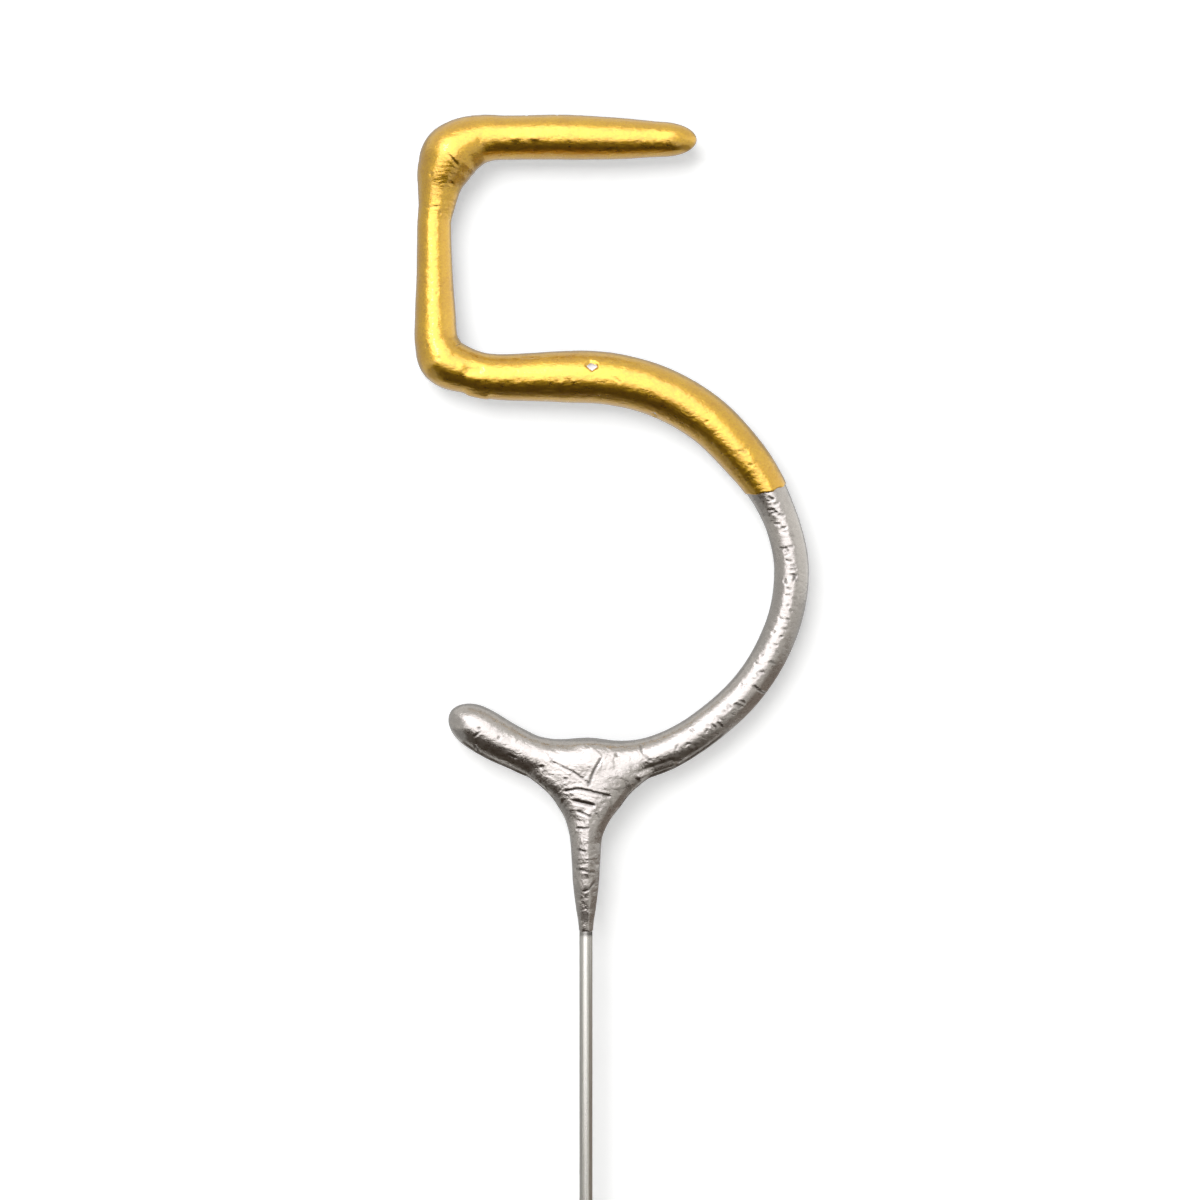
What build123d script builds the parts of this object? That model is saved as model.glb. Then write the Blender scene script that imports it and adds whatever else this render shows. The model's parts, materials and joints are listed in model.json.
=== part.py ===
"""Number sparkler in the shape of a 5: stem, bent wire, weld, two dips of composition and two paint films."""
import os

from build123d import *

# Sizes are in millimetres. +Z is up, the face of the numeral looks along -Y,
# and the origin is the lower end of the stem, on its axis.

# Wires, scoured where they are dipped: the stem to a slight taper, the numeral wire all over
wire_radius = 0.65
scour_depth = 0.02
weld_set_down = 0.21
stem_overhang = 1.3
nugget_radius = 0.85

# Route of the bead, from the tip of the top bar to the end of the hook.
# The numeral wire takes all of it but the two covers.
tip_reach = 9.7
tip_height = 177.6
top_bar_tilt = 1.0
tip_cover = 1.0
top_bar_run = 17.75
upper_corner_bend = 5.8
upper_corner_turn = 90.0
spine_run = 13.7
lower_corner_bend = 4.1
lower_corner_turn = 76.5
waist_bend = 22.0
waist_turn = 20.5
crown_bend = 23.4
crown_turn = 55.5
bowl_bend = 17.9
bowl_turn = 59.0
heel_bend = 19.7
heel_turn = 101.5
hook_run = 2.65
hook_cover = 0.8

# Radius of the silver surface as a share of the bead's radius, each at a share of the route's length
bead_radius = 2.0
bead_stations = (
    (0.000, 0.565),
    (0.013, 0.800),
    (0.050, 0.945),
    (0.088, 1.020),
    (0.132, 1.020),
    (0.147, 1.070),
    (0.162, 1.235),
    (0.177, 1.320),
    (0.192, 1.170),
    (0.207, 0.960),
    (0.229, 0.780),
    (0.266, 0.825),
    (0.318, 1.025),
    (0.333, 1.165),
    (0.356, 1.045),
    (0.386, 1.040),
    (0.441, 1.185),
    (0.505, 1.165),
    (0.550, 1.115),
    (0.579, 1.045),
    (0.639, 0.870),
    (0.736, 0.875),
    (0.810, 0.900),
    (0.862, 0.975),
    (0.952, 1.055),
    (0.982, 1.120),
    (1.000, 0.875),
)

# Layers of the bead, from the paint inwards
gold_film = 0.12
silver_film = 0.12
finish_thickness = 0.48

# Tail of the bead on the stem
tail_length = 16.7
bare_film_length = 1.7
base_tail_gap = 4.0
neck_radius = 0.95
shank_radius = 1.42
shank_share = 0.42
throat_radius = 1.62
throat_share = 0.60
flare_half_width = 4.6
flare_share = 0.90
tail_depth = 1.62
nub_cover = 0.78

# Dip line of the gold paint
dip_line_right = 18.1
dip_line_rise = 27.5
dip_line_tilt = 15.0

# Pitch of the sections that the tail is lofted through
tail_pitch = 0.9


def between(stations, where, ease):
    """Value at a place between two stations, in a straight line or with no slope at the stations."""
    for (start, low), (end, high) in zip(stations, stations[1:]):
        if where <= end:
            share = (where - start) / (end - start)
            if ease:
                share = share * share * (3 - 2 * share)
            return low + (high - low) * share
    return stations[-1][1]


# The numeral wire lies behind the stem, set down into it at the weld
dipped_radius = wire_radius - scour_depth
weld_step = 2 * dipped_radius - weld_set_down
numeral_plane = Plane.XZ.offset(-weld_step)

with BuildLine(numeral_plane):
    tip = PolarLine((tip_reach, tip_height), tip_cover, 180 - top_bar_tilt)
    top_bar = PolarLine(tip @ 1, top_bar_run, direction=tip % 1)
    upper_corner = JernArc(top_bar @ 1, top_bar % 1, upper_corner_bend, upper_corner_turn)
    spine = PolarLine(upper_corner @ 1, spine_run, direction=upper_corner % 1)
    lower_corner = JernArc(spine @ 1, spine % 1, lower_corner_bend, lower_corner_turn)
    waist = JernArc(lower_corner @ 1, lower_corner % 1, waist_bend, waist_turn)
    crown = JernArc(waist @ 1, waist % 1, crown_bend, -crown_turn)
    bowl = JernArc(crown @ 1, crown % 1, bowl_bend, -bowl_turn)
    heel = JernArc(bowl @ 1, bowl % 1, heel_bend, -heel_turn)
    hook = PolarLine(heel @ 1, hook_run, direction=heel % 1)
    hook_end = PolarLine(hook @ 1, hook_cover, direction=hook % 1)

wire_edges = (top_bar, upper_corner, spine, lower_corner, waist, crown, bowl, heel, hook)
bead_edges = (tip, *wire_edges, hook_end)
bead_length = sum(edge.length for edge in bead_edges)
crossing = heel.arc_center.Z - (heel_bend**2 - heel.arc_center.X**2) ** 0.5
stem_top = crossing + stem_overhang
tail_end = crossing - tail_length

with BuildLine() as wire_route:
    add(wire_edges)

with BuildPart() as numeral_wire:
    with BuildSketch(Plane(top_bar @ 0, x_dir=(0, 1, 0), z_dir=top_bar % 0)):
        Circle(dipped_radius)
    sweep(path=wire_route.line)

with BuildPart() as stem_wire:
    with BuildSketch():
        Circle(wire_radius)
    extrude(amount=tail_end)
    with Locations((0, 0, (tail_end + stem_top) / 2)):
        Cone(wire_radius, dipped_radius, stem_top - tail_end)
    add(numeral_wire.part, mode=Mode.SUBTRACT)

with BuildPart() as weld_nugget:
    with Locations((0, weld_step / 2, crossing)):
        Sphere(nugget_radius)
    add(numeral_wire.part, mode=Mode.SUBTRACT)
    add(stem_wire.part, mode=Mode.SUBTRACT)


def bead_tube(growth):
    """Bead round the numeral wire with rounded ends, grown past the silver surface by growth."""
    walked = 0
    with BuildPart(mode=Mode.PRIVATE) as tube:
        for edge in bead_edges:
            first = walked / bead_length
            walked += edge.length
            last = walked / bead_length
            inner = [share for share, _ in bead_stations if first < share < last]
            for share in (first, *inner, last):
                along = (share - first) / (last - first)
                with BuildSketch(Plane(edge @ along, x_dir=(0, 1, 0), z_dir=edge % along)):
                    Circle(bead_radius * between(bead_stations, share, False) + growth)
            sweep(path=edge, multisection=True)
        for end, outward, station in (
            (tip @ 0, -(tip % 0), bead_stations[0]),
            (hook_end @ 1, hook_end % 1, bead_stations[-1]),
        ):
            with BuildSketch(Plane(end, x_dir=outward, z_dir=(0, 1, 0))):
                with BuildLine():
                    dome = CenterArc((0, 0), bead_radius * station[1] + growth, 0, 90)
                    Polyline(dome @ 1, (0, 0), dome @ 0)
                make_face()
            revolve(axis=Axis(end, outward))
    return tube.part


def stem_tail(growth, lift):
    """Flared tail of the bead on the stem, grown by growth, its lower end lifted by lift."""
    foot = tail_end + lift
    widths = (
        (0.0, wire_radius + silver_film),
        (bare_film_length / tail_length, neck_radius),
        (shank_share, shank_radius),
        (throat_share, throat_radius),
        (flare_share, flare_half_width),
        (1.0, flare_half_width),
    )
    count = round((crossing - foot) / tail_pitch)
    with BuildPart(mode=Mode.PRIVATE) as tail:
        for index in range(count + 1):
            height = foot + (crossing - foot) * index / count
            half_width = between(widths, (height - tail_end) / tail_length, True)
            with BuildSketch(Plane.XY.offset(height)):
                Ellipse(half_width + growth, min(half_width, tail_depth) + growth)
        loft()
        with Locations((0, 0, stem_top - wire_radius / 2)):
            Sphere(wire_radius + nub_cover + growth)
    return tail.part


def bead_form(growth, lift):
    """Whole outside of the bead, numeral and tail, grown past the silver surface by growth."""
    with BuildPart(mode=Mode.PRIVATE) as form:
        add(bead_tube(growth))
        add(stem_tail(growth, lift))
    return form.part


silver_form = bead_form(0, 0)
finish_form = bead_form(-silver_film, bare_film_length)
base_form = bead_form(-silver_film - finish_thickness, bare_film_length + base_tail_gap)

with BuildPart() as base_dip:
    add(base_form)
    add(numeral_wire.part, mode=Mode.SUBTRACT)
    add(stem_wire.part, mode=Mode.SUBTRACT)
    add(weld_nugget.part, mode=Mode.SUBTRACT)

with BuildPart() as finish_dip:
    add(finish_form)
    add(base_form, mode=Mode.SUBTRACT)
    add(stem_wire.part, mode=Mode.SUBTRACT)

with BuildPart() as silver_coat:
    add(silver_form)
    add(finish_form, mode=Mode.SUBTRACT)
    add(stem_wire.part, mode=Mode.SUBTRACT)

# The gold was dipped with the numeral upside down, up to a line a little out of level
dip_level = Plane((dip_line_right, 0, crossing + dip_line_rise), x_dir=(1, 0, 0), z_dir=(0, 0, 1))
dip_plane = dip_level.rotated((0, -dip_line_tilt, 0))

with BuildPart() as gold_coat:
    add(bead_tube(gold_film))
    split(bisect_by=dip_plane, keep=Keep.TOP)
    add(silver_form, mode=Mode.SUBTRACT)

os.makedirs("parts", exist_ok=True)
for label, piece in (
    ("stem_wire", stem_wire),
    ("numeral_wire", numeral_wire),
    ("weld_nugget", weld_nugget),
    ("base_dip", base_dip),
    ("finish_dip", finish_dip),
    ("silver_coat", silver_coat),
    ("gold_coat", gold_coat),
):
    piece.part.label = label
    export_step(piece.part, f"parts/{label}.step")
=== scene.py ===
"""Number sparkler in the shape of a 5: a dipped bead in two metal paints on a drawn wire, and its studio."""
import json
import math

import bmesh
import bpy
import numpy as np
from bpy.props import FloatProperty, FloatVectorProperty, IntProperty, PointerProperty
from mathutils import Matrix, Vector


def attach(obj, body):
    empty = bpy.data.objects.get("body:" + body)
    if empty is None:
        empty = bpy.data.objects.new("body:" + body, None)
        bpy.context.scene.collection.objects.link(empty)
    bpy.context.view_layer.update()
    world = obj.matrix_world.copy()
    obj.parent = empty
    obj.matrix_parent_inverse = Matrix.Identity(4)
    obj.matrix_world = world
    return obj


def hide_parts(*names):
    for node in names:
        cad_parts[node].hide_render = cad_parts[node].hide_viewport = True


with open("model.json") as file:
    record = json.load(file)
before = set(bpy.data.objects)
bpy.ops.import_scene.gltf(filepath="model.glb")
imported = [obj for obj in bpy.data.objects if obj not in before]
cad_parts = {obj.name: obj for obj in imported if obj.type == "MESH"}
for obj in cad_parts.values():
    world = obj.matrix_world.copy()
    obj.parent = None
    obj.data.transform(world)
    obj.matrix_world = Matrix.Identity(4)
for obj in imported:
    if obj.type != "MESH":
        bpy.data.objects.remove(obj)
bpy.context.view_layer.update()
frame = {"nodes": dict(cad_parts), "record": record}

bl_info = {
    "name": "Number Sparkler",
    "version": (1, 0, 0),
    "blender": (4, 5, 0),
    "location": "View3D > Sidebar > Sparkler",
    "description": "Paints, dried dips and drawn wire of a number sparkler, with its studio",
    "category": "Object",
}

MM = 0.001
STEM = frame["record"]["mounts"][0]["dims"]
WIRE_SIZE = STEM["r_mm"]

# Bends of the numeral wire from the tip of the top bar to the hook: a run in millimetres with no turn,
# or a bend radius with its turn in degrees, left turns positive
ROUTE_START = (9.7, 177.6)
ROUTE_HEADING = 179.0
ROUTE_DEPTH = 1.05
ROUTE = (
    (18.75, 0.0),
    (5.8, 90.0),
    (13.7, 0.0),
    (4.1, 76.5),
    (22.0, 20.5),
    (23.4, -55.5),
    (17.9, -59.0),
    (19.7, -101.5),
    (3.45, 0.0),
)

# Radius of the silver surface, each at a distance along the route, in millimetres
BEAD_RADII = (
    (-1.25, 1.45),
    (1.75, 1.60),
    (3.75, 1.74),
    (6.75, 1.96),
    (11.75, 2.11),
    (17.75, 2.08),
    (19.75, 2.23),
    (21.75, 2.58),
    (23.75, 2.84),
    (25.75, 2.48),
    (27.75, 1.96),
    (30.75, 1.58),
    (35.75, 1.68),
    (38.75, 1.85),
    (42.75, 2.07),
    (43.75, 2.26),
    (44.75, 2.38),
    (45.75, 2.33),
    (47.75, 2.12),
    (51.75, 2.21),
    (59.25, 2.51),
    (67.75, 2.42),
    (73.75, 2.30),
    (77.75, 2.19),
    (80.75, 1.96),
    (85.75, 1.74),
    (98.9, 1.75),
    (108.8, 1.82),
    (113.5, 1.95),
    (117.5, 2.22),
    (121.0, 2.66),
    (125.0, 2.22),
    (127.8, 2.12),
    (131.8, 2.25),
    (135.95, 1.95),
)

# Drift of the hand-bent bead from its route, each at a distance along it, to the left of the way
BEAD_DRIFT = (
    (0.0, 0.08),
    (2.0, 0.08),
    (12.0, 0.03),
    (19.25, 0.20),
    (21.25, 0.12),
    (23.5, -0.02),
    (25.5, 0.20),
    (27.0, 0.24),
    (28.75, 0.09),
    (31.0, -0.18),
    (38.0, 0.02),
    (41.75, 0.14),
    (43.25, 0.05),
    (44.75, -0.17),
    (46.75, 0.02),
    (49.0, -0.14),
    (53.0, -0.02),
    (57.5, -0.21),
    (61.5, -0.04),
    (67.5, 0.15),
    (71.5, 0.13),
    (77.5, -0.13),
    (82.5, -0.04),
    (86.5, 0.17),
    (89.5, 0.33),
    (94.5, 0.25),
    (98.5, 0.11),
    (102.0, 0.02),
    (107.0, -0.10),
    (115.0, 0.15),
    (120.8, -0.08),
    (126.5, 0.12),
    (128.75, -0.03),
    (133.0, -0.06),
)

# Poles of the rounded ends, measured out from the route's ends, and the length and power of the rounding
TIP_NOSE = 1.25
HOOK_NOSE = 1.6
NOSE_LENGTH = 3.0
NOSE_POWER = 2.2

# Half width and half depth of the tail on the stem, each at a height in millimetres
TAIL_WIDTHS = (
    (98.4, 0.71),
    (99.5, 0.80),
    (100.3, 0.94),
    (101.9, 1.15),
    (103.5, 1.33),
    (107.5, 1.58),
    (109.1, 2.06),
    (110.1, 2.62),
    (110.9, 3.24),
    (111.7, 3.78),
    (112.5, 4.55),
    (113.3, 5.50),
    (114.2, 6.40),
    (115.3, 6.30),
    (116.3, 4.40),
    (117.0, 2.60),
    (117.4, 1.20),
)
TAIL_DEPTHS = (
    (98.4, 0.71),
    (99.5, 0.80),
    (100.3, 0.94),
    (101.9, 1.15),
    (103.5, 1.33),
    (107.5, 1.52),
    (112.0, 1.55),
    (115.0, 1.45),
    (117.4, 0.90),
)

# Lean of the flare to the right, and the heights between which the tail comes to it
TAIL_LEAN = 0.35
TAIL_LEAN_SPAN = (107.5, 111.5)

# Lower end of the composition on the stem, and the nub over the stem's upper end: its middle and radius
PASTE_FOOT = 101.0
NUB = ((0.8, 0.1, 116.25), 1.40)

# Line where the gold dip ends: a point on it, its rise per millimetre to the right, its sag on the face
DIP_LINE = (18.1, 142.59)
DIP_RISE = 0.27
DIP_SAG = 0.42

# Places on the route where the gold's mesh ends and the silver's starts
GOLD_RUN = 82.0
SILVER_START = 76.0

# Marks on the face of the gold: half width, depth (or height, if negative) and painted shade in the groove,
# then places (x, z)
GOLD_MARKS = (
    (0.30, -0.07, 0.00, (-7.1, 177.4), (-6.9, 177.4)),
    (0.28, -0.07, 0.00, (-5.2, 177.4), (-5.0, 177.4)),
    (0.11, 0.06, 0.28, (-13.7, 175.7), (-13.3, 175.3), (-12.8, 174.7)),
    (0.15, 0.07, 0.28, (-15.4, 173.8)),
    (0.17, 0.08, 0.28, (-13.4, 172.9)),
    (0.14, 0.06, 0.28, (-14.5, 170.0)),
    (0.10, 0.04, 0.28, (-15.9, 170.6), (-14.8, 170.6)),
    (0.14, 0.06, 0.22, (-14.8, 162.0)),
    (0.14, 0.06, 0.22, (-15.9, 156.8)),
    (0.17, 0.07, 0.22, (-14.6, 155.5)),
    (0.40, 0.10, 0.11, (-11.6, 154.3), (-10.6, 154.3)),
    (0.25, -0.12, 0.00, (-11.8, 152.0), (-10.0, 151.7)),
    (0.10, 0.03, 0.00, (-6.4, 155.6), (-4.6, 155.6)),
    (0.10, 0.03, 0.11, (-4.6, 152.2), (-3.2, 152.2)),
    (0.16, -0.06, 0.00, (-2.5, 153.0)),
    (0.16, -0.06, 0.00, (-1.2, 153.2)),
    (0.10, 0.05, 0.22, (2.6, 153.7), (3.1, 153.4)),
    (0.10, 0.05, 0.22, (2.9, 153.5), (3.4, 153.1)),
    (0.17, 0.07, 0.22, (12.0, 149.2)),
    (0.10, 0.06, 0.39, (15.2, 146.3), (15.6, 146.3), (16.0, 146.1)),
    (0.10, 0.06, 0.33, (16.2, 144.9), (16.5, 144.9)),
    (0.11, 0.08, 0.00, (-11.6, 179.8)),
    (0.11, 0.08, 0.00, (-5.9, 179.9)),
    (0.11, 0.08, 0.00, (-2.9, 180.0)),
)

# Chips through the gold, by their corners (x, z)
CHIPS = (
    ((-0.1, 154.8), (0.4, 155.2), (1.1, 155.0), (1.2, 154.6), (0.6, 154.2)),
    ((6.6, 150.2), (6.9, 150.2), (7.1, 149.9), (6.8, 149.9)),
)

# Marks on the face of the silver, as for the gold
SILVER_MARKS = (
    (0.10, 0.06, 0.8, (18.2, 141.7), (18.6, 141.5)),
    (0.10, 0.05, 0.8, (18.6, 140.4), (19.0, 140.2)),
    (0.10, 0.05, 0.8, (19.4, 138.8), (19.8, 138.6)),
    (0.10, 0.05, 0.8, (20.2, 136.8), (20.6, 136.8)),
    (0.10, 0.05, 0.8, (19.9, 136.7), (20.1, 136.4)),
    (0.10, 0.05, 0.8, (20.4, 134.9), (20.8, 134.9)),
    (0.10, 0.06, 1.0, (20.6, 134.0), (21.0, 133.4)),
    (0.10, 0.06, 1.0, (20.6, 133.4), (21.0, 134.0)),
    (0.10, 0.06, 0.8, (14.8, 121.1), (15.3, 120.8)),
    (0.10, 0.06, 0.8, (13.1, 119.3), (13.5, 118.9)),
    (0.10, 0.07, 0.8, (16.7, 122.9), (17.4, 122.4), (17.9, 122.2)),
    (0.10, 0.07, 0.8, (5.4, 117.0), (5.7, 116.2), (6.4, 115.5)),
    (0.24, -0.14, 0.0, (5.4, 113.9), (6.6, 114.4), (8.8, 115.1)),
    (0.14, 0.05, 0.25, (5.3, 114.4), (6.4, 114.9), (8.6, 115.6)),
    (0.11, 0.09, 1.0, (1.5, 115.7), (0.8, 114.5), (0.3, 113.1)),
    (0.10, 0.05, 0.6, (-3.8, 116.3), (-3.3, 115.4), (-1.1, 114.3), (0.2, 113.3)),
    (0.11, 0.09, 1.0, (-2.0, 112.5), (-0.9, 112.7), (-0.1, 112.6), (2.3, 112.0)),
    (0.17, 0.13, 1.0, (-1.1, 111.5), (0.7, 111.1)),
    (0.11, 0.07, 0.9, (-0.8, 110.5), (0.4, 110.0)),
    (0.10, 0.06, 0.8, (-0.9, 108.8), (0.2, 108.8)),
    (0.15, 0.08, 0.7, (-2.0, 113.7)),
    (0.15, 0.08, 0.7, (-4.4, 114.9)),
    (0.15, 0.08, 0.7, (3.1, 116.1)),
    (0.40, -0.08, 0.0, (0.4, 116.7)),
    (0.34, -0.08, 0.0, (0.2, 110.3), (0.2, 104.5)),
    (0.10, 0.06, 0.9, (-0.8, 106.7), (-0.1, 106.5)),
    (0.11, 0.06, 0.6, (-0.9, 104.7), (0.8, 104.4)),
    (0.10, 0.06, 0.8, (-0.2, 102.5), (0.3, 102.7), (0.8, 103.4)),
    (0.17, 0.08, 0.8, (-10.6, 118.7)),
    (0.15, 0.08, 0.8, (-8.6, 117.8)),
    (0.10, 0.06, 0.8, (-11.1, 117.9), (-10.5, 118.4)),
    (0.10, 0.06, 0.8, (-11.0, 117.0), (-10.8, 116.4)),
    (0.10, 0.06, 0.8, (-7.7, 116.1), (-7.0, 115.8)),
    (0.10, 0.06, 0.8, (-3.5, 115.4), (-3.2, 115.2)),
)

# Waves of the dip line across the bead, its soft edge, and the place on the route that it lies beyond
DIP_WAVE = 0.06
DIP_WAVE_RATE = 4.3
DIP_WAVE_START = 1.0
DIP_EDGE = 0.08
DIP_STRETCH = 60.0

# Depth of a chip in thicknesses of the gold film, and its soft edge in millimetres
CHIP_DEPTH = 2.2
CHIP_EDGE = 0.05

# Part of a surface's normal along Y at which marks start and are full, and the lip beside a groove
FACE_FADE = (0.35, -0.15)
LIP_PLACE = 2.0
LIP_HEIGHT = 0.12

# Short cracks across the bowl: where they are on the route and how far apart, then the ranges of their
# place across the bead, half length, skew, half width and painted shade, all drawn from one seed
DASH_STRETCH = (82.5, 112.0)
DASH_PITCH = 0.55
DASH_SHIFT = (-0.3, 0.3)
DASH_PLACE = (-0.75, 0.55)
DASH_REACH = (0.05, 0.28)
DASH_SKEW = (-0.1, 0.1)
DASH_WIDTH = (0.09, 0.13)
DASH_SHADE = (0.2, 0.75)
DASH_DEPTH = 0.05
DASH_SEED = 5

# Dried skin: share of the cross ripples all over and added on the spine, where the spine starts and ends,
# dimples in millimetres, and the seed of its noise
RIPPLE = 0.4
SPINE_RIPPLE = 0.6
SPINE_START = (27.5, 30.0)
SPINE_END = (45.0, 42.0)
DIMPLE_DEPTH = 0.015
GOLD_DIMPLE = 1.5
SILVER_DIMPLE = 1.2
SKIN_SEED = 5.0
WRINKLE_STRETCH = (1.0, 0.25, 0.25)

# Rings of the meshes: on a rounded end, on the bowl, on what the paint hides, on the tail and the stem
NOSE_RINGS = 30
BOWL_PITCH = 0.2
BOWL_SIDES = 72
HIDDEN_PITCH = 0.4
HIDDEN_SIDES = 48
TAIL_RINGS = 90
ROUND_SIDES = 64

# Silver that shows through the chips: its depth under the bead's surface and its lap under the silver's end
UNDERCOAT_DEPTH = 0.06
UNDERCOAT_LAP = 3.0

# Smoothing of the junction: its middle, the squeeze of each axis, the distances at which it starts and is
# full, and its amount, then the smoothing of the whole skin
JUNCTION = (0.3, 0.5, 114.2)
JUNCTION_SQUEEZE = (0.75, 1.0, 0.9)
JUNCTION_FADE = (6.5, 3.5)
JUNCTION_SMOOTHING = 1.1
RELAX_SHARE = 0.5
LAST_ROUNDS = 5

# Search for the place of a point on the bead
PLACE_MARGIN = 2.0
PLACE_STEP = 0.1
PLACE_BATCH = 4000
LEAST_STRETCH = 0.3

# Stem: length inside the coat, broken edge at the lower end, rings, and the dark ring at the coat's end,
# painted shade just under the coat's edge that is deeper on the right, away from the key light
STEM_LAP = 6.0
STEM_EDGE = 0.12
STEM_EDGE_SHARE = 0.9
STEM_FIRST_RING = 1.0
STEM_PITCH = 0.2
RING_DROP = 0.1
RING_WIDTH = 0.22
RING_SHADE = 0.75
RING_RIGHT_SHADE = 0.25

# Colours of the finishes that aren't settings
GOLD_SHADE = "#c08e14"
SILVER_SHADE = "#98928b"
# Painted shade in the grooves of the paint's marks and cracks
GROOVE_SHADE_COLOUR = "#2a2118"
# Painted shade on the wire just under the coat's end
RING_SHADE_COLOUR = "#241f1a"
WELD_COLOUR = "#8b867e"
BASE_COLOUR = "#5d5a55"
METAL_GRAIN_COLOUR = "#c9c6c0"
FLOOR_COLOUR = "#e9e7e2"
CARD_COLOUR = "#f7f7f7"

# Patterns of the finishes, in millimetres
PATCH_SIZE = 2.6
FLAKE_SIZE = 0.16
GRIT_SIZE = 0.3
GRIT_STRETCH = (0.45, 1.0, 1.0)
FOLD_SIZE = 1.1
DIE_LINE_WIDTH = 0.12
DIE_LINE_LENGTH = 9.0
DIE_LINE_DEPTH = 0.004
PASTE_RELIEF = 0.04

# Colour of the steel between its die lines as a share, and the spread of roughness over a surface
DIE_LINE_SHADE = 0.8
PAINT_SPREAD = 0.1
STEEL_SPREAD = 0.12

# Folds of the paint near the junction, with heights halved: their middle, their reach and their share
FOLD_SQUEEZE = (1.0, 1.0, 0.5)
FOLD_MIDDLE = (0.0, 0.0, 55.0)
FOLD_REACH = (11.0, 5.0)
FOLD_SHARE = (0.25, 0.9)

# Stage, in metres: the floor, and the white card behind the numeral
FLOOR_REACH = 2.0
FLOOR_GLOW = 0.55
CARD_DEPTH = 0.00395
CARD_REACH = 0.2
CARD_TOP = 0.32
CARD_GLOW = 0.46

# Cards that are seen in reflections alone: two opposite corners in metres, brightness and colour
WHITE = (1.0, 1.0, 1.0, 1.0)
WARM = (1.0, 0.85, 0.75, 1.0)
BROWN = (1.0, 0.75, 0.55, 1.0)
REFLECTED_CARDS = (
    ("dark_mat", (-0.3, -0.40, 0.0002), (0.11, 0.02, 0.0002), 0.07, BROWN),
    # The low walls and the heel strip are painted reflections of shade: dim cards that stand for the shadowed
    # ground mirrored in the sides of the wire and the lower edge of the heel
    ("right_wall", (0.12, -0.10, 0.0), (0.12, 0.3, 0.080), 0.30, WARM),
    ("left_wall", (-0.12, -0.06, 0.0), (-0.12, 0.1, 0.080), 0.45, WHITE),
    ("left_card", (-0.3, -0.35, 0.1), (-0.3, 0.3, 0.3), 0.68, WHITE),
    ("right_card", (0.3, -0.30, 0.1), (0.3, 0.3, 0.3), 1.3, WHITE),
    ("back_wall", (-0.7, 0.35, 0.0), (0.7, 0.35, 0.55), 0.5, WHITE),
    # Painted reflection of shade under the heel's lower edge
    ("heel_strip", (-0.02, 0.004, 0.1085), (0.022, 0.015, 0.1085), 0.07, BROWN),
)

# Softboxes: degrees to the right of the camera's side and above it, distance, width, height and radiance
LAMP_AIM = (0.0014, 0.0, 0.145)
KEY_COLOUR = (1.0, 0.99, 1.08)
SHADE_COLOUR = (1.0, 1.0, 1.0)
KEY_LAMPS = (
    ("key", -13, 21, 0.50, 0.70, 0.65, 1.75),
    ("key_middle", -24, 24, 0.49, 0.36, 0.30, 0.55),
    ("key_core", -20, 24, 0.48, 0.05, 0.05, 20.0),
)
SHADE_LAMP = ("shade_lamp", -17, 22, 0.9, 0.60, 0.54, 5.2)

# Strength of the world where it lights, and where it is seen
WORLD_STRENGTHS = (0.12, 1.0)

# Place of the camera in millimetres, level and square to the numeral
CAMERA_PLACE = (1.4, -332.3, 131.5)


def linear(hex_colour):
    """Linear RGBA of an sRGB hex colour."""
    shares = [int(hex_colour[place : place + 2], 16) / 255 for place in (1, 3, 5)]
    return (*[s / 12.92 if s <= 0.04045 else ((s + 0.055) / 1.055) ** 2.4 for s in shares], 1.0)


class SparklerSizes(bpy.types.PropertyGroup):
    """Sizes of the wire, the paint and its dried skin."""

    wire_radius: FloatProperty(
        name="Wire Radius", description="Radius of the drawn wire", default=WIRE_SIZE * MM, unit="LENGTH"
    )
    coat_end: FloatProperty(
        name="Coat End", description="Height on the stem where the coat ends", default=STEM["length_mm"] * MM,
        unit="LENGTH",
    )
    gold_film: FloatProperty(
        name="Gold Film", description="Thickness of the gold paint", default=0.12 * MM, unit="LENGTH"
    )
    gold_pitch: FloatProperty(
        name="Gold Pitch", description="Spacing of the rings of the gold piece", default=0.12 * MM,
        unit="LENGTH",
    )
    gold_sides: IntProperty(name="Gold Sides", description="Sides of the gold piece's rings", default=116)
    silver_voxel: FloatProperty(
        name="Silver Voxel", description="Grain of the silver piece's mesh", default=0.121 * MM, unit="LENGTH"
    )
    paste_inset: FloatProperty(
        name="Paste Inset", description="Depth of the composition under the silver surface",
        default=0.25 * MM, unit="LENGTH",
    )
    paste_voxel: FloatProperty(
        name="Paste Voxel", description="Grain of the composition's mesh", default=0.3 * MM, unit="LENGTH"
    )
    lump_height: FloatProperty(
        name="Lump Height", description="Height of the slow lumps of the dried dip", default=0.07 * MM,
        unit="LENGTH",
    )
    lump_size: FloatProperty(
        name="Lump Size", description="Width of the slow lumps", default=3.2 * MM, unit="LENGTH"
    )
    wrinkle_height: FloatProperty(
        name="Wrinkle Height", description="Height of the fine cross wrinkles", default=0.06 * MM,
        unit="LENGTH",
    )
    wrinkle_pitch: FloatProperty(
        name="Wrinkle Pitch", description="Spacing of the wrinkles along the bead", default=0.45 * MM,
        unit="LENGTH",
    )


class SparklerColours(bpy.types.PropertyGroup):
    """Colours of the paints and the wire, in linear light."""

    gold: FloatVectorProperty(
        name="Gold", description="Bronze powder of the gold paint", default=linear("#d6aa1a"), size=4,
        subtype="COLOR",
    )
    silver: FloatVectorProperty(
        name="Silver", description="Aluminium powder of the silver paint", default=linear("#afa9a1"), size=4,
        subtype="COLOR",
    )
    steel: FloatVectorProperty(
        name="Steel", description="Drawn steel of the wires", default=linear("#d0cec6"), size=4,
        subtype="COLOR",
    )
    composition: FloatVectorProperty(
        name="Composition", description="Dried sparkler composition", default=linear("#77746e"), size=4,
        subtype="COLOR",
    )


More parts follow.
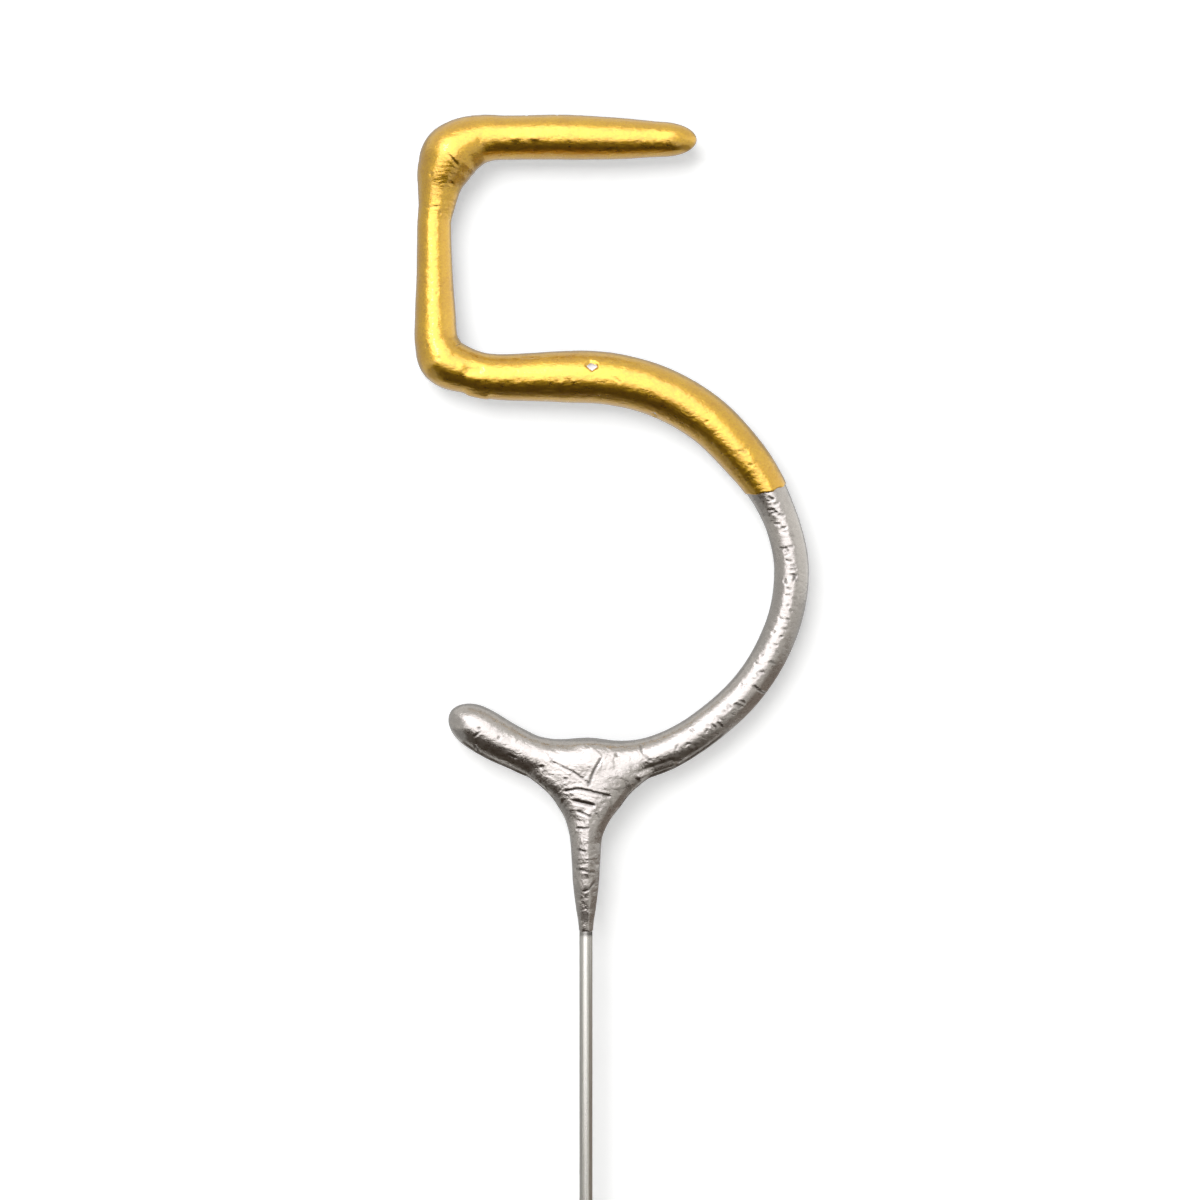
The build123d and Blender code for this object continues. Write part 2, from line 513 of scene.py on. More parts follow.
def put(tree, kind, inputs=None, **settings):
    """Add a node with its settings; each socket, by name or number, gets a value or an output to link to."""
    node = tree.nodes.new(kind)
    for name, value in settings.items():
        setattr(node, name, value)
    for key, value in (inputs or {}).items():
        if isinstance(value, bpy.types.NodeSocket):
            tree.links.new(value, node.inputs[key])
        else:
            node.inputs[key].default_value = value
    return node


def calc(tree, operation, *values):
    """Output of a math node on its values."""
    return put(tree, "ShaderNodeMath", dict(enumerate(values)), operation=operation).outputs[0]


def ranged(tree, value, given, wanted):
    """Output of a value taken from the given range to the wanted one, and held inside it."""
    return put(tree, "ShaderNodeMapRange", dict(enumerate((value, *given, *wanted)))).outputs[0]


def mixed(tree, share, first, second):
    """Output of two colours mixed by a share of the second."""
    return put(tree, "ShaderNodeMix", {0: share, 6: first, 7: second}, data_type="RGBA").outputs[2]


def noise(tree, spot, scale, detail, roughness, distortion=0.0, seed=None):
    """Output of noise over the places spot, of another pattern for each seed where one is given."""
    inputs = {
        "Vector": spot,
        "Scale": scale,
        "Detail": detail,
        "Roughness": roughness,
        "Distortion": distortion,
    }
    if seed is None:
        return put(tree, "ShaderNodeTexNoise", inputs).outputs[0]
    return put(tree, "ShaderNodeTexNoise", {**inputs, "W": seed}, noise_dimensions="4D").outputs[0]


def walk_route(distances):
    """Places (x, z) in millimetres and headings in radians at distances along the route, and its length."""
    place = np.zeros((len(distances), 2))
    heading = np.zeros(len(distances))
    corner = np.array(ROUTE_START)
    way = math.radians(ROUTE_HEADING)
    walked = 0.0
    for number, (size, turn) in enumerate(ROUTE):
        bend = math.radians(turn)
        length = size * abs(bend) if turn else size
        # The first and the last run go straight on past the route's ends
        first = -np.inf if number == 0 else walked
        last = np.inf if number == len(ROUTE) - 1 else walked + length
        here = (distances >= first) & (distances < last)
        along = distances[here] - walked
        side = math.copysign(1.0, turn)
        angle = way + side * along / size if turn else np.full(len(along), way)
        if turn:
            hub = corner + side * size * np.array((-math.sin(way), math.cos(way)))
            place[here] = hub + side * size * np.stack((np.sin(angle), -np.cos(angle)), 1)
            corner = hub + side * size * np.array((math.sin(way + bend), -math.cos(way + bend)))
        else:
            ahead = np.array((math.cos(way), math.sin(way)))
            place[here] = corner + along[:, None] * ahead
            corner = corner + size * ahead
        heading[here] = angle
        way += bend
        walked += length
    return place, heading, walked


ROUTE_LENGTH = walk_route(np.zeros(1))[2]
BEAD_END = ROUTE_LENGTH + HOOK_NOSE


def eased(stations, where):
    """Smooth value between stations, with no overshoot at them."""
    at, value = np.array(stations).T
    step = np.diff(at)
    slope = np.diff(value) / step
    same = slope[1:] * slope[:-1] > 0
    mean = np.where(same, 2 * slope[1:] * slope[:-1] / np.where(same, slope[1:] + slope[:-1], 1), 0)
    tangent = np.concatenate(([slope[0]], mean, [slope[-1]]))
    where = np.clip(where, at[0], at[-1])
    left = np.clip(np.searchsorted(at, where, side="right") - 1, 0, len(at) - 2)
    share = (where - at[left]) / step[left]
    return (
        (1 + 2 * share) * (1 - share) ** 2 * value[left]
        + share * (1 - share) ** 2 * step[left] * tangent[left]
        + share**2 * (3 - 2 * share) * value[left + 1]
        + share**2 * (share - 1) * step[left] * tangent[left + 1]
    )


def ease_step(low, high, value):
    """Smooth step from 0 at low to 1 at high."""
    share = np.clip((value - low) / (high - low), 0, 1)
    return share * share * (3 - 2 * share)


def bead_line(distances):
    """Places (x, z) of the bead's middle and its headings at distances along the route, with its drift."""
    place, heading, _ = walk_route(distances)
    left = np.stack((-np.sin(heading), np.cos(heading)), 1)
    return place + eased(BEAD_DRIFT, distances)[:, None] * left, heading


def bead_radius(at):
    """Radius of the silver surface at distances along the route, rounded off at both ends."""
    inset = np.minimum(at + TIP_NOSE, BEAD_END - at)
    blunt = 1 - np.clip(1 - inset / NOSE_LENGTH, 0, 1) ** NOSE_POWER
    return eased(BEAD_RADII, at) * np.sqrt(blunt)


def bead_stops(first, last, pitch):
    """Distances of the bead's rings between two distances, closer together on a rounded end."""
    nose = NOSE_LENGTH * (np.arange(1, NOSE_RINGS + 1) / NOSE_RINGS) ** 2
    begin, end = first, last
    stops = []
    if first <= -TIP_NOSE:
        stops.append(nose - TIP_NOSE)
        begin = NOSE_LENGTH - TIP_NOSE + pitch
    if last >= BEAD_END:
        end = BEAD_END - NOSE_LENGTH - pitch
    stops.append(np.linspace(begin, end, round((end - begin) / pitch) + 1))
    if last >= BEAD_END:
        stops.append(BEAD_END - nose[::-1])
    return np.concatenate(stops)


def group_tree(name, sockets):
    """Geometry node tree with a geometry in and out and the named inputs, and its inputs' outputs."""
    tree = bpy.data.node_groups.new(name, "GeometryNodeTree")
    tree.interface.new_socket("Geometry", in_out="INPUT", socket_type="NodeSocketGeometry")
    for title, kind in sockets:
        tree.interface.new_socket(title, in_out="INPUT", socket_type=kind)
    tree.interface.new_socket("Geometry", in_out="OUTPUT", socket_type="NodeSocketGeometry")
    return tree, put(tree, "NodeGroupInput").outputs


def finish_tree(tree, geometry, material):
    """Realize instances, set the material and close the tree."""
    real = put(tree, "GeometryNodeRealizeInstances", {"Geometry": geometry})
    painted = put(tree, "GeometryNodeSetMaterial", {"Geometry": real.outputs[0], "Material": material})
    put(tree, "NodeGroupOutput", {"Geometry": painted.outputs[0]})


def bead_tree():
    """Tree that grows a round bead along a curve whose points carry their radius."""
    title = "Bead Along Route"
    if title in bpy.data.node_groups:
        return bpy.data.node_groups[title]
    tree, given = group_tree(
        title,
        (("Film", "NodeSocketFloat"), ("Sides", "NodeSocketInt"), ("Material", "NodeSocketMaterial")),
    )
    grown = calc(tree, "ADD", put(tree, "GeometryNodeInputRadius").outputs[0], given["Film"])
    curve = put(tree, "GeometryNodeSetCurveRadius", {"Curve": given["Geometry"], "Radius": grown})
    ring = put(tree, "GeometryNodeCurvePrimitiveCircle", {"Resolution": given["Sides"], "Radius": 1.0})
    tube = put(
        tree, "GeometryNodeCurveToMesh",
        {"Curve": curve.outputs[0], "Profile Curve": ring.outputs[0], "Scale": grown, "Fill Caps": True},
    )
    finish_tree(tree, tube.outputs[0], given["Material"])
    return tree


def dry_tree():
    """Tree for a dried dip's skin: slow lumps, cross wrinkles in patches, scaled by ripple, and dimples."""
    title = "Dried Skin"
    if title in bpy.data.node_groups:
        return bpy.data.node_groups[title]
    numbers = (
        "Lump Height", "Lump Size", "Wrinkle Height", "Wrinkle Pitch", "Dimple Depth", "Dimple Size", "Seed",
    )
    sockets = [(name, "NodeSocketFloat") for name in numbers]
    tree, given = group_tree(title, (*sockets, ("Material", "NodeSocketMaterial")))
    seed = given["Seed"]
    spot = put(tree, "GeometryNodeInputPosition").outputs[0]
    facing = put(tree, "GeometryNodeInputNormal").outputs[0]
    place = put(
        tree, "GeometryNodeInputNamedAttribute", {"Name": "bead_place"}, data_type="FLOAT_VECTOR"
    ).outputs[0]
    ripple = put(tree, "GeometryNodeInputNamedAttribute", {"Name": "ripple"}, data_type="FLOAT").outputs[0]

    lump_rate = calc(tree, "DIVIDE", 1.0, given["Lump Size"])
    lumps = noise(tree, spot, lump_rate, detail=1.5, roughness=0.45, seed=seed)
    lump_lift = calc(tree, "MULTIPLY", calc(tree, "SUBTRACT", lumps, 0.5), given["Lump Height"])

    stretch = put(
        tree, "ShaderNodeVectorMath", {0: place, 1: WRINKLE_STRETCH}, operation="MULTIPLY"
    ).outputs[0]
    wrinkle_rate = calc(tree, "DIVIDE", 1.0, given["Wrinkle Pitch"])
    wrinkles = noise(tree, stretch, wrinkle_rate, detail=2.0, roughness=0.5, seed=seed)
    patch_rate = calc(tree, "MULTIPLY", lump_rate, 0.8)
    patches = noise(tree, spot, patch_rate, detail=0.0, roughness=0.5, seed=seed)
    wrinkle_lift = calc(tree, "MULTIPLY", calc(tree, "SUBTRACT", wrinkles, 0.5), given["Wrinkle Height"])
    wrinkle_lift = calc(tree, "MULTIPLY", wrinkle_lift, ranged(tree, patches, (0.35, 0.65), (0.25, 1.0)))
    wrinkle_lift = calc(tree, "MULTIPLY", wrinkle_lift, ripple)

    dimple_rate = calc(tree, "DIVIDE", 1.0, given["Dimple Size"])
    cells = put(
        tree, "ShaderNodeTexVoronoi", {"Vector": spot, "W": seed, "Scale": dimple_rate},
        voronoi_dimensions="4D",
    ).outputs[0]
    dimples = ranged(tree, cells, (0.12, 0.34), (1.0, 0.0))
    dimple_dip = calc(tree, "MULTIPLY", dimples, given["Dimple Depth"])

    lift = calc(tree, "SUBTRACT", calc(tree, "ADD", lump_lift, wrinkle_lift), dimple_dip)
    offset = put(tree, "ShaderNodeVectorMath", {0: facing, "Scale": lift}, operation="SCALE").outputs[0]
    skin = put(tree, "GeometryNodeSetPosition", {"Geometry": given["Geometry"], "Offset": offset})
    finish_tree(tree, skin.outputs[0], given["Material"])
    return tree


def plain_mesh(thing):
    """New mesh of an object with its modifiers applied."""
    depsgraph = bpy.context.evaluated_depsgraph_get()
    return bpy.data.meshes.new_from_object(thing.evaluated_get(depsgraph), depsgraph=depsgraph)


def run_tree(thing, tree, values):
    """Run a tree on an object with the named values, and give the result as a plain mesh."""
    modifier = thing.modifiers.new(tree.name, "NODES")
    modifier.node_group = tree
    for item in tree.interface.items_tree:
        if item.in_out == "INPUT" and item.name in values:
            modifier[item.identifier] = values[item.name]
    mesh = plain_mesh(thing)
    thing.modifiers.remove(modifier)
    return mesh


def bead_mesh(name, first, last, pitch, sides, film, material):
    """Mesh of a stretch of the bead, in metres, grown along its route."""
    at = bead_stops(first, last, pitch / MM)
    place, _ = bead_line(at)
    line = bpy.data.curves.new(name, "CURVE")
    line.dimensions = "3D"
    spline = line.splines.new("POLY")
    spline.points.add(len(at) - 1)
    depth = np.full(len(at), ROUTE_DEPTH)
    points = np.stack((place[:, 0], depth, place[:, 1], np.ones(len(at))), 1)
    points[:, :3] *= MM
    spline.points.foreach_set("co", points.astype(np.float32).ravel())
    spline.points.foreach_set("radius", (bead_radius(at) * MM).astype(np.float32))
    thing = bpy.data.objects.new(name, line)
    bpy.context.scene.collection.objects.link(thing)
    mesh = run_tree(thing, bead_tree(), {"Film": film, "Sides": sides, "Material": material})
    bpy.data.objects.remove(thing)
    bpy.data.curves.remove(line)
    return mesh


def add_piece(name, mesh):
    """Object of that mesh in the scene, smooth shaded."""
    mesh.name = name
    mesh.shade_smooth()
    piece = bpy.data.objects.new(name, mesh)
    bpy.context.scene.collection.objects.link(piece)
    return piece


def hold(piece, slot, *nodes):
    """Ride the piece on the one body, in place of its CAD nodes; the slot is not used."""
    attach(piece, "root")
    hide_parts(*nodes)


def read_points(mesh):
    """Points of a mesh in millimetres, and their normals."""
    points = np.empty(len(mesh.vertices) * 3, np.float32)
    mesh.vertices.foreach_get("co", points)
    normals = np.empty(len(mesh.vertices) * 3, np.float32)
    mesh.vertex_normals.foreach_get("vector", normals)
    return points.reshape(-1, 3).astype(float) / MM, normals.reshape(-1, 3).astype(float)


def write_points(mesh, points):
    """Put points in millimetres back into a mesh."""
    mesh.vertices.foreach_set("co", (points * MM).astype(np.float32).ravel())
    mesh.update()


def write_attribute(mesh, name, values):
    """Store a number or a vector for each point of a mesh."""
    kind, field = ("FLOAT_VECTOR", "vector") if values.ndim == 2 else ("FLOAT", "value")
    layer = mesh.attributes.get(name) or mesh.attributes.new(name, kind, "POINT")
    layer.data.foreach_set(field, values.astype(np.float32).ravel())


def bead_places(points):
    """For each point its distance along the route, its offset across the bead and its offset in depth."""
    at = np.arange(-PLACE_MARGIN, ROUTE_LENGTH + PLACE_MARGIN, PLACE_STEP)
    place, _ = bead_line(at)
    way = np.gradient(place, axis=0)
    way /= np.linalg.norm(way, axis=1)[:, None]
    bend = np.gradient(np.unwrap(np.arctan2(way[:, 1], way[:, 0])), at)
    nearest = np.empty(len(points), int)
    for start in range(0, len(points), PLACE_BATCH):
        part = points[start : start + PLACE_BATCH, ::2]
        gaps = np.sum((part[:, None] - place[None]) ** 2, axis=2)
        nearest[start : start + PLACE_BATCH] = np.argmin(gaps, axis=1)
    shift = points[:, ::2] - place[nearest]
    way = way[nearest]
    across = shift[:, 1] * way[:, 0] - shift[:, 0] * way[:, 1]
    stretch = np.maximum(1 - bend[nearest] * across, LEAST_STRETCH)
    along = at[nearest] + np.sum(shift * way, axis=1) / stretch
    return np.stack((along, across, points[:, 1] - ROUTE_DEPTH), 1)


def relax(points, edges, share, rounds):
    """Smooth points along the edges, each by its share."""
    ends = np.bincount(edges.ravel(), minlength=len(points))
    for _ in range(rounds):
        for axis in range(3):
            line = points[:, axis]
            total = np.bincount(edges[:, 0], line[edges[:, 1]], len(line))
            total += np.bincount(edges[:, 1], line[edges[:, 0]], len(line))
            points[:, axis] = line + share * (total / ends - line)
    return points


def close_rings(build, rings):
    """Faces of a tube through rings of points, with both ends closed."""
    for low, high in zip(rings, rings[1:]):
        for side in range(len(low)):
            following = (side + 1) % len(low)
            build.faces.new((low[side], low[following], high[following], high[side]))
    build.faces.new(rings[0][::-1])
    build.faces.new(rings[-1])


def built_mesh(name, build):
    """Mesh of a build, which is freed."""
    mesh = bpy.data.meshes.new(name)
    build.to_mesh(mesh)
    build.free()
    return mesh


def join_meshes(name, meshes):
    """One mesh of several, which are removed."""
    build = bmesh.new()
    for mesh in meshes:
        build.from_mesh(mesh)
        bpy.data.meshes.remove(mesh)
    return built_mesh(name, build)


def tail_mesh(inset, foot):
    """Mesh of the flared tail on the stem from its foot up, and of the nub over the stem's end, in metres."""
    build = bmesh.new()
    heights = np.linspace(foot, TAIL_WIDTHS[-1][0] - inset, TAIL_RINGS)
    turn = np.linspace(0, 2 * np.pi, ROUND_SIDES, endpoint=False)
    lean = TAIL_LEAN * ease_step(*TAIL_LEAN_SPAN, heights)
    wide = eased(TAIL_WIDTHS, heights) - inset
    deep = eased(TAIL_DEPTHS, heights) - inset
    rings = []
    for height, shift, width, depth in zip(heights, lean, wide, deep):
        level = np.full(len(turn), height)
        ring = np.stack((shift + width * np.cos(turn), depth * np.sin(turn), level), 1)
        rings.append([build.verts.new(point * MM) for point in ring])
    close_rings(build, rings)
    centre, radius = NUB
    nub = bmesh.ops.create_icosphere(build, subdivisions=4, radius=(radius - inset) * MM)
    bmesh.ops.translate(build, verts=nub["verts"], vec=[value * MM for value in centre])
    return built_mesh("tail", build)


def one_skin(name, meshes, voxel):
    """Fuse meshes into one closed skin, and draw it together round the crossing of the wires."""
    rough = join_meshes(name, meshes)
    # The voxel remesh works in millimetres, because its smallest voxel is a tenth of a millimetre in metres
    rough.transform(Matrix.Scale(1 / MM, 4))
    blank = bpy.data.objects.new(name, rough)
    bpy.context.scene.collection.objects.link(blank)
    remesh = blank.modifiers.new("One Skin", "REMESH")
    remesh.mode = "VOXEL"
    remesh.voxel_size = voxel / MM
    mesh = plain_mesh(blank)
    bpy.data.objects.remove(blank)
    mesh.transform(Matrix.Scale(MM, 4))
    points, _ = read_points(mesh)
    edges = np.empty(len(mesh.edges) * 2, np.int32)
    mesh.edges.foreach_get("vertices", edges)
    edges = edges.reshape(-1, 2)
    middle = np.linalg.norm((points - np.array(JUNCTION)) * JUNCTION_SQUEEZE, axis=1)
    rounds = round(JUNCTION_SMOOTHING / (voxel / MM) ** 2)
    points = relax(points, edges, RELAX_SHARE * ease_step(*JUNCTION_FADE, middle), rounds)
    points = relax(points, edges, np.full(len(points), RELAX_SHARE), LAST_ROUNDS)
    write_points(mesh, points)
    return mesh


def polyline_gap(points, path):
    """Distance of points (x, z) from a path."""
    gap = np.full(len(points), np.inf)
    for start, end in zip(path, path[1:] or path):
        start, along = np.array(start), np.subtract(end, start)
        share = np.clip((points - start) @ along / max(along @ along, 1e-9), 0, 1)
        gap = np.minimum(gap, np.linalg.norm(points - start - share[:, None] * along, axis=1))
    return gap


def press_marks(points, normals, marks):
    """Press marks into the face, with a low lip beside each groove, and give the painted shade in their
    grooves.
    """
    face = ease_step(*FACE_FADE, normals[:, 1])
    lift = np.zeros(len(points))
    groove_shade = np.zeros(len(points))
    for width, depth, darkening, *path in marks:
        gap = polyline_gap(points[:, ::2], path)
        groove = np.exp(-((gap / width) ** 2)) * face
        lip = np.exp(-(((gap - LIP_PLACE * width) / width) ** 2)) * face
        lift += depth * (LIP_HEIGHT * lip - groove) if depth > 0 else -depth * groove
        groove_shade = np.maximum(groove_shade, darkening * groove)
    return points + normals * lift[:, None], groove_shade


def chip_share(points, corners):
    """1 for points (x, z) inside a convex chip whose corners run clockwise, 0 outside."""
    inside = np.full(len(points), np.inf)
    for start, end in zip(corners, corners[1:] + corners[:1]):
        along = np.subtract(end, start) / np.linalg.norm(np.subtract(end, start))
        reach = points - np.array(start)
        inside = np.minimum(inside, reach[:, 1] * -along[0] + reach[:, 0] * along[1])
    return ease_step(-CHIP_EDGE, CHIP_EDGE, inside)


def cross_dashes():
    """Short cracks across the bowl, where the thin paint broke as it dried, with painted shade in them."""
    dice = np.random.default_rng(DASH_SEED)
    stops = np.arange(*DASH_STRETCH, DASH_PITCH)
    place, heading = bead_line(stops + dice.uniform(*DASH_SHIFT, len(stops)))
    dashes = []
    for middle, way in zip(place, heading):
        left = np.array((-math.sin(way), math.cos(way)))
        ahead = np.array((math.cos(way), math.sin(way)))
        spot = middle + dice.uniform(*DASH_PLACE) * left
        reach = dice.uniform(*DASH_REACH) * left + dice.uniform(*DASH_SKEW) * ahead
        width = dice.uniform(*DASH_WIDTH)
        darkening = dice.uniform(*DASH_SHADE)
        dashes.append((width, DASH_DEPTH, darkening, spot - reach, spot + reach))
    return tuple(dashes)


def dried_skin(name, mesh, points, attributes, dimple, sizes, material):
    """Move a painted mesh to its points, store its attributes and give it the skin of a dried dip."""
    write_points(mesh, points)
    for title, values in attributes.items():
        write_attribute(mesh, title, values)
    blank = add_piece(name, mesh)
    skin = run_tree(blank, dry_tree(), {
        "Lump Height": sizes.lump_height,
        "Lump Size": sizes.lump_size,
        "Wrinkle Height": sizes.wrinkle_height,
        "Wrinkle Pitch": sizes.wrinkle_pitch,
        "Dimple Depth": DIMPLE_DEPTH * MM,
        "Dimple Size": dimple * MM,
        "Seed": SKIN_SEED,
        "Material": material,
    })
    bpy.data.objects.remove(blank)
    return skin


def new_material(name):
    """New material with an empty tree, and the tree."""
    material = bpy.data.materials.new(name)
    material.use_nodes = True
    material.node_tree.nodes.clear()
    return material, material.node_tree


def paint_material(name, colour, shade, roughness, grain, crumple):
    """Metal powder paint: flakes nearly flat in clear lacquer, so a broad metal sheen under a paler shine."""
    material, tree = new_material(name)
    spot = put(tree, "ShaderNodeTexCoord").outputs["Object"]
    patches = noise(tree, spot, 1 / (PATCH_SIZE * MM), detail=3.0, roughness=0.6)
    flakes = put(tree, "ShaderNodeTexVoronoi", {"Vector": spot, "Scale": 1 / (FLAKE_SIZE * MM)})
    flake_level = put(tree, "ShaderNodeSeparateColor", {0: flakes.outputs["Color"]}).outputs[0]
    level = calc(tree, "MULTIPLY_ADD", flake_level, 0.5, ranged(tree, patches, (0.3, 0.7), (0.0, 0.5)))
    base = mixed(tree, level, shade, colour)
    # Painted shade in the grooves of the marks and cracks, read from the mesh
    painted_shade = put(tree, "ShaderNodeAttribute", attribute_name="painted_shade").outputs["Fac"]
    base = mixed(tree, ranged(tree, painted_shade, (0.0, 1.0), (0.0, 0.8)), base, linear(GROOVE_SHADE_COLOUR))

    folds = noise(tree, spot, 1 / (FOLD_SIZE * MM), detail=2.0, roughness=0.5, distortion=0.6)
    squeezed = put(tree, "ShaderNodeVectorMath", {0: spot, 1: FOLD_SQUEEZE}, operation="MULTIPLY").outputs[0]
    middle = [value * MM for value in FOLD_MIDDLE]
    reach = put(
        tree, "ShaderNodeVectorMath", {0: squeezed, 1: middle}, operation="DISTANCE"
    ).outputs["Value"]
    near = ranged(tree, reach, [value * MM for value in FOLD_REACH], FOLD_SHARE)
    folds = calc(tree, "MULTIPLY", folds, near)
    folded = put(tree, "ShaderNodeBump", {"Height": folds, "Strength": 1.0, "Distance": crumple}).outputs[0]

    stretched = put(tree, "ShaderNodeMapping", {"Vector": spot, "Scale": GRIT_STRETCH}).outputs[0]
    grit = noise(tree, stretched, 1 / (GRIT_SIZE * MM), detail=3.0, roughness=0.6)
    rough = ranged(tree, grit, (0.3, 0.7), (roughness, roughness + PAINT_SPREAD))
    relief = put(
        tree, "ShaderNodeBump", {"Height": grit, "Strength": 1.0, "Distance": grain, "Normal": folded}
    ).outputs[0]
    surface = put(
        tree, "ShaderNodeBsdfPrincipled",
        {
            "Base Color": base,
            "Metallic": 1.0,
            "Roughness": rough,
            "Normal": relief,
            "Coat Weight": 1.0,
            "Coat Roughness": 0.15,
            "Coat IOR": 1.68,
            "Coat Normal": relief,
        },
    )
    put(tree, "ShaderNodeOutputMaterial", {"Surface": surface.outputs[0]})
    return material


def steel_material(name, colour, roughness):
    """Drawn steel wire: bright, with fine die lines along its length."""
    material, tree = new_material(name)
    spot = put(tree, "ShaderNodeTexCoord").outputs["Object"]
    rates = [1 / (size * MM) for size in (DIE_LINE_WIDTH, DIE_LINE_WIDTH, DIE_LINE_LENGTH)]
    drawn = put(tree, "ShaderNodeMapping", {"Vector": spot, "Scale": rates}).outputs[0]
    lines = noise(tree, drawn, 1.0, detail=3.0, roughness=0.6)
    dull = [DIE_LINE_SHADE * share for share in colour[:3]] + [1.0]
    # Painted shade on the wire just under the coat's end, deeper on the right
    edge_shade = put(tree, "ShaderNodeAttribute", attribute_name="painted_shade").outputs["Fac"]
    base = mixed(tree, edge_shade, mixed(tree, lines, dull, colour), linear(RING_SHADE_COLOUR))
    rough = ranged(tree, lines, (0.3, 0.7), (roughness, roughness + STEEL_SPREAD))
    relief = put(
        tree, "ShaderNodeBump", {"Height": lines, "Strength": 1.0, "Distance": DIE_LINE_DEPTH * MM}
    ).outputs[0]
    surface = put(
        tree, "ShaderNodeBsdfPrincipled",
        {"Base Color": base, "Metallic": 1.0, "Roughness": rough, "Normal": relief},
    )
    put(tree, "ShaderNodeOutputMaterial", {"Surface": surface.outputs[0]})
    return material


def composition_material(name, colour, grain):
    """Dried sparkler composition: a dull grey paste with bright metal grains in it."""
    material, tree = new_material(name)
    spot = put(tree, "ShaderNodeTexCoord").outputs["Object"]
    cells = put(tree, "ShaderNodeTexVoronoi", {"Vector": spot, "Scale": 1 / grain}).outputs
    level = put(tree, "ShaderNodeSeparateColor", {0: cells["Color"]}).outputs[0]
    metal = ranged(tree, level, (0.72, 0.78), (0.0, 1.0))
    base = mixed(tree, metal, colour, linear(METAL_GRAIN_COLOUR))
    relief = put(
        tree, "ShaderNodeBump", {"Height": cells["Distance"], "Strength": 1.0, "Distance": PASTE_RELIEF * MM}
    ).outputs[0]
    surface = put(
        tree, "ShaderNodeBsdfPrincipled",
        {"Base Color": base, "Metallic": metal, "Roughness": 0.7, "Normal": relief},
    )
    put(tree, "ShaderNodeOutputMaterial", {"Surface": surface.outputs[0]})
    return material


class SPARKLER_OT_gold_paint(bpy.types.Operator):
    """Make the gold paint on the upper half of the numeral"""

    bl_idname = "sparkler.gold_paint"
    bl_label = "Gold Paint"

    def execute(self, context):
        sizes = context.scene.sparkler_sizes
        material = paint_material(
            "bronze_powder_paint", context.scene.sparkler_colours.gold, linear(GOLD_SHADE),
            roughness=0.26, grain=0.035 * MM, crumple=0.2 * MM,
        )
        mesh = bead_mesh(
            "gold_paint", -TIP_NOSE, GOLD_RUN, sizes.gold_pitch, sizes.gold_sides, 0.0, material
        )
        points, normals = read_points(mesh)
        place = bead_places(points)
        sag = DIP_SAG * (1 - np.clip(place[:, 1] / bead_radius(place[:, 0]), -1, 1) ** 2)
        above = points[:, 2] - DIP_LINE[1] - DIP_RISE * (points[:, 0] - DIP_LINE[0]) + sag
        above += DIP_WAVE * np.sin(place[:, 1] * DIP_WAVE_RATE + DIP_WAVE_START)
        above = np.where(place[:, 0] > DIP_STRETCH, above, 1.0)
        film = sizes.gold_film / MM
        lift = -film + 2 * film * ease_step(-DIP_EDGE, DIP_EDGE, above)
        for corners in CHIPS:
            hole = chip_share(points[:, ::2], corners) * (normals[:, 1] < 0)
            lift -= CHIP_DEPTH * film * hole
        points += normals * lift[:, None]
        # Marks, with painted shade in their grooves
        points, groove_shade = press_marks(points, normals, GOLD_MARKS)
        spine = ease_step(*SPINE_START, place[:, 0]) * ease_step(*SPINE_END, place[:, 0])
        attributes = {"bead_place": place * MM, "painted_shade": groove_shade, "ripple": RIPPLE + SPINE_RIPPLE * spine}
        skin = dried_skin("gold_blank", mesh, points, attributes, GOLD_DIMPLE, sizes, material)
        hold(add_piece("gold_paint", skin), "gold_paint", "gold_coat")
        return {"FINISHED"}


class SPARKLER_OT_silver_paint(bpy.types.Operator):
    """Make the silver paint on the bowl, the hook, the tail and under the gold"""

    bl_idname = "sparkler.silver_paint"
    bl_label = "Silver Paint"

    def execute(self, context):
        sizes = context.scene.sparkler_sizes
        material = paint_material(
            "aluminium_powder_paint", context.scene.sparkler_colours.silver, linear(SILVER_SHADE),
            roughness=0.24, grain=0.03 * MM, crumple=0.12 * MM,
        )
        bowl = bead_mesh("bowl", SILVER_START, BEAD_END, BOWL_PITCH * MM, BOWL_SIDES, 0.0, material)
        mesh = one_skin("silver_blank", [bowl, tail_mesh(0.0, TAIL_WIDTHS[0][0])], sizes.silver_voxel)
        points, normals = read_points(mesh)
        place = bead_places(points)
        # Marks and cross cracks, with painted shade in their grooves
        points, groove_shade = press_marks(points, normals, SILVER_MARKS + cross_dashes())
        attributes = {"bead_place": place * MM, "painted_shade": groove_shade, "ripple": np.full(len(points), RIPPLE)}
        skin = dried_skin("silver_blank", mesh, points, attributes, SILVER_DIMPLE, sizes, material)
        under = bead_mesh(
            "undercoat", -TIP_NOSE, SILVER_START + UNDERCOAT_LAP, HIDDEN_PITCH * MM, HIDDEN_SIDES,
            -UNDERCOAT_DEPTH * MM, material,
        )
        joined = join_meshes("silver_paint", [skin, under])
        joined.materials.append(material)
        hold(add_piece("silver_paint", joined), "silver_paint", "silver_coat")
        return {"FINISHED"}


class SPARKLER_OT_finish_paste(bpy.types.Operator):
    """Make the dried composition under the paint"""

    bl_idname = "sparkler.finish_paste"
    bl_label = "Finish Paste"

    def execute(self, context):
        sizes = context.scene.sparkler_sizes
        colours = context.scene.sparkler_colours
        material = composition_material("finish_composition", colours.composition, grain=0.3 * MM)
        inset = sizes.paste_inset / MM
        bead = bead_mesh(
            "paste", 2 * inset - TIP_NOSE, BEAD_END - 2 * inset, HIDDEN_PITCH * MM, HIDDEN_SIDES,
            -sizes.paste_inset, material,
        )
        mesh = one_skin("finish_paste", [bead, tail_mesh(inset, PASTE_FOOT)], sizes.paste_voxel)
        mesh.materials.clear()
        mesh.materials.append(material)
        hold(add_piece("finish_paste", mesh), "finish_composition", "finish_dip")
        return {"FINISHED"}


